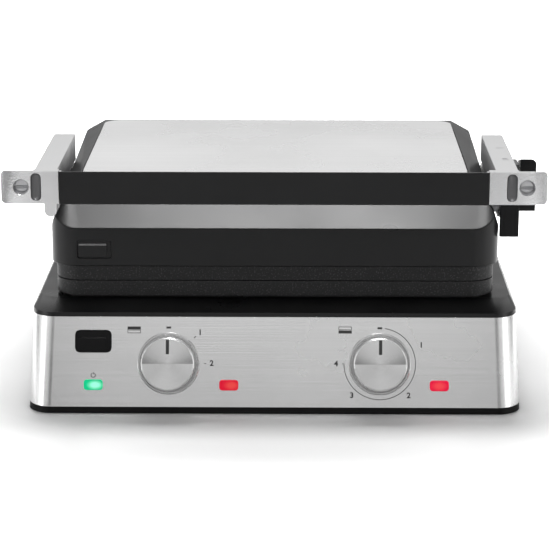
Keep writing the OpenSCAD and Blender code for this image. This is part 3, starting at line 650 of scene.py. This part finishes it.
# %% Top panel
top = rounded_slab("lid_top_piece", 144.5, 60, 266.5, 14, 166.2, 168, 12)
edit(top)
pick_faces(top, lambda middle, normal: normal.z > 0.9)
bpy.ops.mesh.inset(thickness=0.0006)
bpy.ops.transform.translate(value=(0, 0, -0.00004))
leave()
soften(top, 0.5, 3)
finish(top, "lid", top_steel, "brushed_steel", "lid_top_panel")
print("top panel faces", len(top.data.polygons))

# %% [markdown]
# ## Handle
# The bar is a long moulding with a flat front and a top that falls away to the rear; its lower back edge is
# raised. Two edges of a block are moved to get that outline before all edges are rounded.

# %% Handle bar
HANDLE_FRONT, HANDLE_BACK = -12, 1.6
HANDLE_TOP = 185.6
bar = block("handle_bar_piece", (-153.3, HANDLE_FRONT, 161.4), (153.3, HANDLE_BACK, HANDLE_TOP))
edit(bar)
back = at(0, HANDLE_BACK, 0).y
pick_edges(bar, lambda middle, way: abs(way.x) > 0.9 and abs(middle.y - back) < 1e-5 and middle.z > 0.18)
bpy.ops.transform.translate(value=(0, 0, -0.0034))
pick_edges(bar, lambda middle, way: abs(way.x) > 0.9 and abs(middle.y - back) < 1e-5 and middle.z < 0.17)
bpy.ops.transform.translate(value=(0, 0, 0.0024))
leave()
soften(bar, 0.7, 3)
finish(bar, "arms", handle_black, "black_plastic", "handle_bar")
print("bar", [round(v, 4) for v in bar.dimensions])

# %% [markdown]
# ## End brackets
# Each bracket is a cast plate beside the bar, and its face curves back towards the tip. It has a blind hole
# with a slotted screw head at its bottom and a narrow scoop where a finger meets it; the faces inside the
# scoop are painted dark, as shade. The same steps make the left one and the right one, with every distance
# from the middle taken to the other side.

# %% Bracket plate
EAR_TIP = 194.8
BRACKET_INNER = 153.6
BRACKET_LOW = 162
CURVE_START = 174.6
CURVE_STEP = 1.4
CURVE_RATE = 190


def side_block(name, side, inner, outer, front, back, top=HANDLE_TOP):
    """A block on one side, from an inner to an outer distance from the middle."""
    low, high = sorted((side * inner, side * outer))
    return block(name, (low, front, BRACKET_LOW), (high, back, top))


def curve_face(piece, side):
    """Moves the front face back in strips, more and more towards the tip."""
    front = at(0, HANDLE_FRONT, 0).y
    places = [(CURVE_START + CURVE_STEP * step) / 1000 for step in range(1, 14)]
    edit(piece)
    for place in places:
        bpy.ops.mesh.select_all(action="SELECT")
        bpy.ops.mesh.bisect(plane_co=(side * place, 0, 0), plane_no=(1, 0, 0))
    for place in places + [EAR_TIP / 1000]:
        pick_edges(piece, lambda middle, way: abs(middle.y - front) < 1e-5 and abs(way.z) > 0.9
                   and abs(abs(middle.x) - place) < 2e-4)
        bpy.ops.transform.translate(value=(0, CURVE_RATE * (place - CURVE_START / 1000) ** 3, 0))
    leave()


def round_tip(piece, side):
    """Rounds the tip's upper and lower corners by trimming the plate with a larger rounded block."""
    outline = side_block("outline", side, 100, EAR_TIP, -20, 10)
    edit(outline)
    pick_edges(outline, lambda middle, way: abs(way.y) > 0.9 and abs(middle.x - side * EAR_TIP / 1000) < 1e-5)
    bpy.ops.mesh.bevel(offset=0.003, segments=8, affect="EDGES")
    leave()
    combine(piece, outline, "INTERSECT")


# %% Bracket
SCREW_X, SCREW_Z = 180.6, 174.2
SCOOP_X = 169.7
# Where the painted shade of the scoop lies on the bracket.
SCOOP_SHADE_Z = 174
SCOOP_SHADE_REACH_X, SCOOP_SHADE_REACH_Z = 4.1, 10.4
RAIL_INNER = {-1: 155.8, 1: 159.0}
SCOOP_END = [(10, 1.2), (9.6, 2.3), (8.6, 3.3), (7.2, 3.8)]
SCOOP_RINGS = [(-z, r) for z, r in SCOOP_END] + [(0, 3.9)] + SCOOP_END[::-1]


def make_bracket(name, side):
    piece = side_block(name, side, BRACKET_INNER, EAR_TIP, HANDLE_FRONT, -8.2)
    curve_face(piece, side)
    round_tip(piece, side)
    rail = RAIL_INNER[side]
    boss = put(turned("boss", [(4, 8), (9, 8)], 64), on_front(side * SCREW_X, 0, SCREW_Z))
    combine(piece, boss, "UNION")
    combine(piece, side_block("thick", side, BRACKET_INNER, rail + 15.7, -11, -4), "UNION")
    combine(piece, side_block("root", side, BRACKET_INNER, rail - 0.1, -5, 10, 181.5), "UNION")
    recess = turned("recess", [(-6, 4.4), (-0.3, 5.6), (0.02, 5.9), (1, 6.4)], 64)
    cut_out(piece, put(recess, on_front(side * SCREW_X, HANDLE_FRONT, SCREW_Z)))
    scoop = turned("scoop", SCOOP_RINGS, 48)
    cut_out(piece, put(scoop, Matrix.Translation(at(side * SCOOP_X, -12.6, SCREW_Z))))
    return soften(piece, 0.45, 2, 32)


def paint_scoop_shade(piece, side):
    """Gives the faces inside the scoop a dark, rougher finish: painted shade and dark reflection of the
    recess.
    """
    piece.data.materials.append(scoop_painted_shade)
    middle = at(side * SCOOP_X, 0, SCOOP_SHADE_Z)
    near, deep = at(0, HANDLE_FRONT + 0.03, 0).y, at(0, -8.6, 0).y
    for face in piece.data.polygons:
        away = (face.center - middle) * 1000
        inside = abs(away.x) < SCOOP_SHADE_REACH_X and abs(away.z) < SCOOP_SHADE_REACH_Z
        if inside and near < face.center.y < deep and face.normal.y < -0.02:
            face.material_index = 1


for label, side in (("left", -1), ("right", 1)):
    bracket = make_bracket(label + "_bracket_piece", side)
    finish(bracket, "arms", cast_alloy, "cast_alloy", label + "_bracket")
    paint_scoop_shade(bracket, side)
    print(bracket.name, "faces", len(bracket.data.polygons))

# %% Bracket screws
for label, side in (("left", -1), ("right", 1)):
    head = turned(label + "_bracket_screw", [(-6.2, 4.6), (-5.0, 4.6), (-4.6, 4.2), (-4.5, 2.0)], 48)
    put(head, on_front(side * SCREW_X, HANDLE_FRONT, SCREW_Z))
    slot_middle = (side * SCREW_X, -7.5 - PANEL_FOOT, SCREW_Z - 1)
    slot = cube("slot", slot_middle, (12, 2.2, 2.2), (QUARTER_TURN / 2, 0, 0))
    soften(cut_out(head, slot), 0.12, 2)
    finish(head, "arms", zinc_steel, "zinc_steel")
print("screws ready")

# %% [markdown]
# ## Arms, adjuster and the rest of the castings
# These follow the CAD outline exactly, so they are rounded copies.

# %% Arms and handle back
for label in ("left_arm", "right_arm"):
    rounded_copy(label, 0.9, cast_alloy, 3)
rounded_copy("handle_back", 0.7, handle_black)
rounded_copy("adjuster_housing", 0.6, gloss_black)
rounded_copy("adjuster_slide", 0.3, dark_plastic)
for label in ("handle_screws", "left_hinge_pin", "right_hinge_pin", "guide_pins"):
    rounded_copy(label, 0.25, zinc_steel)
print("arms ready")

# %% [markdown]
# The adjuster's thumb piece is a block with ridges across its outer face, for grip. Its top falls away to
# the rear.

# %% Adjuster thumb
THUMB_DROP = 5.49
RUNG_STEP = 2.8
thumb = block("adjuster_thumb_piece", (182.4, 56, 141), (194.2, 78, 180.6))
edit(thumb)
pick_edges(thumb, lambda middle, way: abs(way.x) > 0.9 and middle.z > 0.17 and middle.y > at(0, 70, 0).y)
bpy.ops.transform.translate(value=(0, 0, -THUMB_DROP / 1000))
pick_edges(thumb, lambda middle, way: abs(way.y) > 0.9 and middle.x > 0.19 and middle.z > 0.17)
bpy.ops.mesh.bevel(offset=0.004, segments=6, affect="EDGES")
leave()
for rung in range(6):
    middle = 60 + rung * RUNG_STEP
    cut_out(thumb, block("groove", (193.5, middle - 0.6, 147), (196, middle + 0.6, 169)))
soften(thumb, 0.4, 2)
finish(thumb, "adjuster", gloss_black, "gloss_black", "adjuster_thumb")
print("thumb faces", len(thumb.data.polygons))

# %% [markdown]
# ## Base
# The panel, deck and pan keep their CAD outlines with rounded edges. The panel is thin sheet, so its
# rounding is small; the mouldings take more.

# %% Base shells
rounded_copy("control_panel", 0.25, panel_steel)
rounded_copy("base_deck", 1.6, deck_black, 4)
rounded_copy("base_pan", 0.6, pan_black)
rounded_copy("rubber_feet", 0.8, rubber)
rounded_copy("cord_gland", 0.5, rubber)
rounded_copy("drip_tray", 0.5, deck_black)
print("base shells ready")

# %% Plates
for label in ("lower_plate", "upper_plate"):
    rounded_copy(label, 0.7, plate_coating, 3)
print("plates ready")

# %% [markdown]
# The brackets, straps and hooks of the inner and rear metalwork show with the lid open or from behind, so
# they get rounded edges. Springs, screws and what lies deeper inside keep the CAD shape and only get a
# finish.

# %% Metalwork
INNER_FINISHES = {
    zinc_steel: ("base_screws", "base_button_spring", "lid_button_spring", "left_dial_shaft",
                 "right_dial_shaft"),
    bright_sheet: ("lower_reflector", "upper_reflector", "grease_spout"),
    heater_tube: ("lower_element", "upper_element"),
    cream: ("lower_element_bushings", "left_thermostat", "right_thermostat", "terminal_block",
            "thermal_cutout", "indicator_lamps"),
    board_green: ("indicator_board",),
    dark_plastic: ("control_frame",),
}
for label in ("left_hinge_bracket", "right_hinge_bracket", "lid_hinge_straps", "plate_hooks",
              "base_latch_hook", "lid_latch_hook"):
    rounded_copy(label, 0.3, zinc_steel)
for material, labels in INNER_FINISHES.items():
    for label in labels:
        frame["nodes"][label].data.materials[0] = material
print("metalwork ready")

# %% [markdown]
# ## Dials
# A dial is a turned body with a thin chamfer, a spun face let into it and a black inlay for a pointer, in a
# bright ring that stands on the panel. The face gets its UV map here: angle along U, radius along V.


# %% Spun face map
def spin_map(piece):
    """Angle along U and millimetres of radius along V, for a face that still lies flat at the origin."""
    full_turn = 2 * math.pi
    layer = piece.data.uv_layers.new(name="spin")
    for face in piece.data.polygons:
        turn = math.atan2(face.center.y, face.center.x)
        for loop in face.loop_indices:
            corner = piece.data.vertices[piece.data.loops[loop].vertex_index].co
            own = math.atan2(corner.y, corner.x) if corner.xy.length > 1e-6 else turn
            own -= full_turn * round((own - turn) / full_turn)
            start = full_turn if turn < 0 else 0
            layer.data[loop].uv = ((own + start) / full_turn, corner.xy.length * 1000)


# %% Dial pieces
BODY_RINGS = [(0.4, 20.5), (2, 20.5), (14.8, 19.7), (15.6, 19.5), (16, 19.0), (16, 18.7), (15.4, 18.7)]
FACE_RINGS = [(15.3, 18.66), (15.9, 18.66), (16, 18.5), (16, 15), (16, 11), (16, 7), (16, 3), (16, 0.4)]
COLLAR_RINGS = [(0.05, 23), (1.1, 23), (1.6, 22.5), (1.65, 22.0), (1.5, 21.2), (0.6, 20.9)]


def make_dial(label, x):
    spot = on_panel(x, DIAL_Z)
    body = put(soften(turned(label + "_piece", BODY_RINGS), 0.12, 2, 20), spot)
    finish(body, label, dial_side, "dial_metal", label)
    face = turned(label + "_face", FACE_RINGS)
    spin_map(face)
    bpy.ops.object.shade_smooth_by_angle(angle=SMOOTH_ANGLE)
    # The face's material paints its reflection into its colour.
    finish(put(face, spot), label, spun_face_with_painted_reflection, "brushed_steel", label + "_cap")
    line = soften(cube(label + "_line", (0, 12.4, 15.9), (2.4, 10.6, 0.6)), 0.15, 2)
    finish(put(line, spot), label, ink, "gloss_black", label + "_pointer")
    ring = turned(label + "_ring_piece", COLLAR_RINGS)
    edit(ring)
    pick_faces(ring, lambda middle, normal: abs(normal.z) > 0.99)
    bpy.ops.mesh.delete(type="FACE")
    leave()
    soften(ring, 0.08, 2, 40)
    finish(put(ring, spot), "base", bright_ring, "ring_chrome", label + "_ring")


make_dial("left_dial", -DIAL_X)
make_dial("right_dial", DIAL_X)
print("dials ready")

# %% [markdown]
# ## Buttons and lenses
# Both release buttons are pads with rounded corners and a raised grip, whose sloping top edge catches a line
# of light. The lenses are low rounded windows.


# %% Pads
def pad(name, width, height, corner, low, high):
    """A pad with rounded corners that lies at the origin and faces +Z."""
    piece = cube(name, (0, 0, (low + high) / 2), (width, height, high - low))
    edit(piece)
    pick_edges(piece, lambda middle, way: abs(way.z) > 0.9)
    bpy.ops.mesh.bevel(offset=corner / 1000, segments=6, affect="EDGES")
    leave()
    return piece


def add_grip(button, width, height, x, y, low, high, slope):
    """A raised grip on a button; the slope along its top catches a line of light."""
    middle_z = (low + high) / 2
    grip = cube("grip", (x, y, middle_z), (width, height, high - low))
    edit(grip)
    pick_edges(grip, lambda middle, way: abs(way.x) > 0.9 and middle.y > y / 1000
               and middle.z > middle_z / 1000)
    bpy.ops.mesh.bevel(offset=slope / 1000, segments=1, affect="EDGES")
    leave()
    return combine(button, grip, "UNION")


# %% Buttons
base_button = pad("base_button_piece", 26.4, 16.1, 2.4, -4, 0.5)
add_grip(base_button, 20.6, 10.2, -0.8, -1.9, 0.2, 1.6, 0.9)
soften(base_button, 0.3, 3)
put(base_button, on_panel(-BUTTON_X, 51.5))
finish(base_button, "release_button", gloss_black, "gloss_black", "base_release_button")

lid_button = pad("lid_button_piece", 24.6, 12.6, 1.6, -3.4, -0.7)
add_grip(lid_button, 20.4, 9.4, -1.1, -0.2, -1.0, 0.6, 1.2)
soften(lid_button, 0.25, 3)
put(lid_button, on_front(-BUTTON_X, LID_FRONT, 115.8))
finish(lid_button, "lid_button", handle_black, "gloss_black", "lid_release_button")
print("buttons ready")

# %% Lenses
for label, x, glow in (("power_lens", -BUTTON_X, lens_green), ("left_ready_lens", -33.5, lens_red_left),
                       ("right_ready_lens", 122, lens_red_right)):
    window = soften(pad(label + "_piece", 14, 7.8, 2.2, -2, 0.7), 0.5, 3)
    put(window, on_panel(x, LENS_Z))
    finish(window, "base", glow, SLOT_OF[label], label)
print("lenses ready")

# %% [markdown]
# ## Printed marks
# The scales and signs are printed: thin dark shapes a few hundredths of a millimetre above the steel. The
# steps of a scale are plain numbers.

# %% Mark helpers
PRINT_HEIGHT = 0.00003
FIGURE_SIZE = 5.6


def flat_bar(name, width, height, rim=0.0):
    """A flat printed bar; with a rim it is an outline."""
    bpy.ops.mesh.primitive_plane_add(size=1)
    piece = put(name_it(name), Matrix.Diagonal((width / 1000, height / 1000, 1, 1)))
    if rim:
        edit(piece)
        bpy.ops.mesh.select_all(action="SELECT")
        bpy.ops.mesh.inset(thickness=rim / 1000)
        bpy.ops.mesh.delete(type="FACE")
        leave()
    return piece


def arc(name, radius, width, start, sweep):
    """A printed ribbon round the origin, between two angles in degrees, clockwise from the top."""
    inner, outer = radius - width / 2, radius + width / 2
    bpy.ops.mesh.primitive_circle_add(vertices=180, radius=inner / 1000, fill_type="NOTHING")
    piece = name_it(name)
    edit(piece)
    bpy.ops.mesh.select_mode(type="EDGE")
    bpy.ops.mesh.select_all(action="SELECT")
    bpy.ops.mesh.extrude_region_move()
    bpy.ops.transform.resize(value=(outer / inner, outer / inner, 1), center_override=(0, 0, 0))
    pick_faces(piece, lambda middle, normal: (math.degrees(math.atan2(middle.x, middle.y)) - start) % 360
               > sweep)
    bpy.ops.mesh.delete(type="FACE")
    leave()
    return piece


def number(name, text):
    """A plain figure as a flat mesh, centred on the origin."""
    bpy.ops.object.text_add()
    writing = bpy.context.object
    writing.data.body = text
    writing.data.size = FIGURE_SIZE / 1000
    writing.data.offset = 0.00018
    writing.data.align_x, writing.data.align_y = "CENTER", "CENTER"
    bpy.ops.object.convert(target="MESH")
    return name_it(name)


# %% Printing
def print_mark(piece, body, spot):
    """Gives a flat mark its hair's thickness and lays it on the grill."""
    apply_modifier(piece, "SOLIDIFY", thickness=PRINT_HEIGHT, offset=1)
    return finish(put(piece, spot), body, ink, "gloss_black")


def print_on_panel(piece, x, z):
    edit(piece)
    bpy.ops.mesh.select_all(action="SELECT")
    bpy.ops.mesh.normals_make_consistent(inside=False)
    if bmesh.from_edit_mesh(piece.data).faces[:][0].normal.z < 0:
        bpy.ops.mesh.flip_normals()
    leave()
    return print_mark(piece, "base", on_panel(x, z) @ Matrix.Translation((0, 0, PRINT_HEIGHT)))


def tick(name, radius, height, angle, x):
    """A short radial stroke round the dial at x; the angle goes clockwise from the top."""
    stroke = flat_bar(name, 0.45, height)
    put(stroke, Matrix.Rotation(-math.radians(angle), 4, "Z") @ Matrix.Translation((0, radius / 1000, 0)))
    return print_on_panel(stroke, x, DIAL_Z)


# %% Left scale
print_on_panel(flat_bar("left_off_dot", 3.4, 1.5), -DIAL_X, 61.4)
print_on_panel(flat_bar("left_sign_filled", 9.8, 2.2), -103.6, 61.0)
print_on_panel(flat_bar("left_sign_outline", 9.8, 2.5, 0.4), -103.6, 58.5)
tick("left_tick_1", 27.4, 2.0, 45, -DIAL_X)
tick("left_tick_2", 27.0, 1.5, 90, -DIAL_X)
for figure, x, z in (("1", -54.8, 57.9), ("2", -46.2, 36.0)):
    print_on_panel(number("left_figure_" + figure, figure), x, z)
print("left scale ready")

# %% Right scale
print_on_panel(flat_bar("right_off_dot", 3.4, 1.5), DIAL_X, 61.4)
print_on_panel(flat_bar("right_sign_outline", 9.8, 2.5, 0.4), 52.4, 61.2)
print_on_panel(flat_bar("right_sign_filled", 9.8, 2.2), 52.4, 58.6)
print_on_panel(arc("right_arc", 26.4, 0.5, 9, 261), DIAL_X, DIAL_Z)
tick("right_tick", 27.0, 1.6, 270, DIAL_X)
for figure, x, z in (("1", 108.6, 49.4), ("2", 99.4, 13.6), ("3", 57.4, 13.6), ("4", 45.8, 36.0)):
    print_on_panel(number("right_figure_" + figure, figure), x, z)
print("right scale ready")

# %% Power sign and arm marks
ARM_TOP = 184
print_on_panel(arc("power_ring", 1.6, 0.5, 35, 290), -BUTTON_X, 27.4)
print_on_panel(flat_bar("power_stroke", 0.5, 1.8), -BUTTON_X, 28.7)
for name, x, y, width, height in (("arm_mark_rear", 168.6, 80, 5.5, 0.35),
                                  ("arm_mark_front", 169.0, 42, 3.6, 0.9),
                                  ("arm_mark_line", 169.4, 38, 5.0, 0.35)):
    spot = Matrix.Translation(at(x, y, ARM_TOP) + Vector((0, 0, PRINT_HEIGHT)))
    print_mark(flat_bar(name, width, height), "arms", spot)
print("signs ready")

# %% [markdown]
# ## Floor and light
# The grill stands on a seamless pale floor. Near the grill it is lit by the lamps alone, and further out it
# is lifted to plain white. In mirror images it is darker in the middle than at the sides. From below it is
# clear, so that the underside can be looked at.

# %% Floor
bpy.ops.mesh.primitive_plane_add(size=30, location=(0, 0, 0))
floor = name_it("floor")
floor_paint, tree, shader = new_material("Pale floor")
shader.inputs["Base Color"].default_value = (0.86, 0.86, 0.86, 1)
shader.inputs["Roughness"].default_value = 0.6
shader.inputs["Specular IOR Level"].default_value = 0.2
shader.inputs["Emission Color"].default_value = (1, 1, 1, 1)
place = object_place(tree)
away = remap(tree, length(tree, times(tree, place, (0.8, 1.0, 0.0))), 0.19, 0.38, curve="SMOOTHSTEP")
aside = calc(tree, "ABSOLUTE", node(tree, "ShaderNodeSeparateXYZ", {0: place}).outputs[0])
pool = remap(tree, aside, 0.22, 0.34, 0.15, 1.1, "SMOOTHSTEP")
path = node(tree, "ShaderNodeLightPath").outputs
seen = calc(tree, "MAXIMUM", path["Is Camera Ray"], calc(tree, "MULTIPLY", path["Is Glossy Ray"], pool))
tree.links.new(calc(tree, "MULTIPLY", away, seen), shader.inputs["Emission Strength"])
from_below = node(tree, "ShaderNodeNewGeometry").outputs["Backfacing"]
tree.links.new(calc(tree, "SUBTRACT", 1.0, from_below), shader.inputs["Alpha"])
floor.data.materials.append(floor_paint)
print("floor ready")

# %% World
ROOM_LIGHT = 0.22
world = bpy.data.worlds.new("Studio")
bpy.context.scene.world = world
world.use_nodes = True
tree = world.node_tree
backdrop = tree.nodes["Background"]
backdrop.inputs["Color"].default_value = (1, 1, 1, 1)
path = node(tree, "ShaderNodeLightPath").outputs
seen = calc(tree, "MAXIMUM", path["Is Camera Ray"], path["Is Transmission Ray"])
shine = calc(tree, "MAXIMUM", seen, path["Is Glossy Ray"])
tree.links.new(calc(tree, "MAXIMUM", shine, ROOM_LIGHT), backdrop.inputs["Strength"])
print("world ready")

# %% [markdown]
# One lamp hangs behind and above and gives the soft shadow. A box over the front shows only in mirror
# images, where the lid's front bevel looks, and two more lamps stand at the sides.


# %% Lamps
def lamp(name, place, aim, width, height, power):
    bpy.ops.object.light_add(type="AREA", location=place)
    light = bpy.context.object
    light.name = name
    light.data.shape = "RECTANGLE"
    light.data.size, light.data.size_y = width, height
    light.data.energy = power
    light.rotation_euler = (Vector(aim) - Vector(place)).to_track_quat("-Z", "Y").to_euler()
    return light


lamp("overhead", (0, 0.75, 1.5), (0, 0.0, 0.1), 0.8, 0.6, 34).visible_glossy = False
lamp("front_box", (0, -0.42, 1.7), (0, -0.12, 0.14), 0.5, 0.6, 34).visible_diffuse = False
lamp("left_side", (-1.4, -0.85, 0.5), (0, -0.1, 0.1), 0.5, 0.9, 3)
lamp("right_side", (1.4, -0.85, 0.5), (0, -0.1, 0.1), 0.5, 0.9, 3)
print("lamps ready")

# %% [markdown]
# Dark cards with soft edges stand and lie round the grill, as photographers put them, so that polished faces
# and corners show dark and light bands. They show only in mirror images, and throw no shadow.


# %% Dark cards
def card_finish(name, axis, near, far, strength):
    """Dull black that fades out along one of the card's own axes, from a near to a far place."""
    material, tree, shader = new_material(name)
    shader.inputs["Base Color"].default_value = (0.02, 0.02, 0.02, 1)
    place = node(tree, "ShaderNodeSeparateXYZ", {0: object_place(tree)}).outputs[axis]
    if axis == 0:
        place = calc(tree, "ABSOLUTE", place)
    tree.links.new(remap(tree, place, near, far, strength, 0.0, "SMOOTHSTEP"), shader.inputs["Alpha"])
    return material


def stand_card(name, place, turn, width, height, material):
    bpy.ops.mesh.primitive_plane_add(size=1, location=place, rotation=turn)
    card = name_it(name)
    card.scale = (width, height, 1)
    card.data.materials.append(material)
    card.visible_camera = card.visible_diffuse = card.visible_shadow = False


# %% Cards round the grill
SIDE_CARDS = ((26, 0.92, 0.32, 1.0), (102, 1.0, 0.9, 1.5))
CARD_SINK = 0.2
soft_sides = card_finish("Card with soft sides", 0, 0.05, 0.5, 0.95)
for label, side in (("left", -1), ("right", 1)):
    for azimuth, away, width, height in SIDE_CARDS:
        turn = math.radians(azimuth)
        spot = (side * away * math.sin(turn), -0.1 - away * math.cos(turn), height / 2 - CARD_SINK)
        stand_card("%s_card_%d" % (label, azimuth), spot, (QUARTER_TURN, 0, side * turn), width, height,
                   soft_sides)
    stand_card(label + "_floor_card", (side * 0.54, -0.7, 0.002), (0, 0, 0), 0.4, 0.7, soft_sides)
for name, y, z, near, strength in (("rear", 1.0, 0.2, 0.0, 0.75), ("front", -1.06, 0.15, 0.1, 0.45)):
    paint = card_finish(name.capitalize() + " card", 1, near, 0.5, strength)
    stand_card(name + "_card", (0, y, z), (QUARTER_TURN, 0, 0), 2.4, 0.5, paint)
print("cards ready")

# %% Finish
scene = bpy.context.scene
scene.view_settings.view_transform = "Standard"
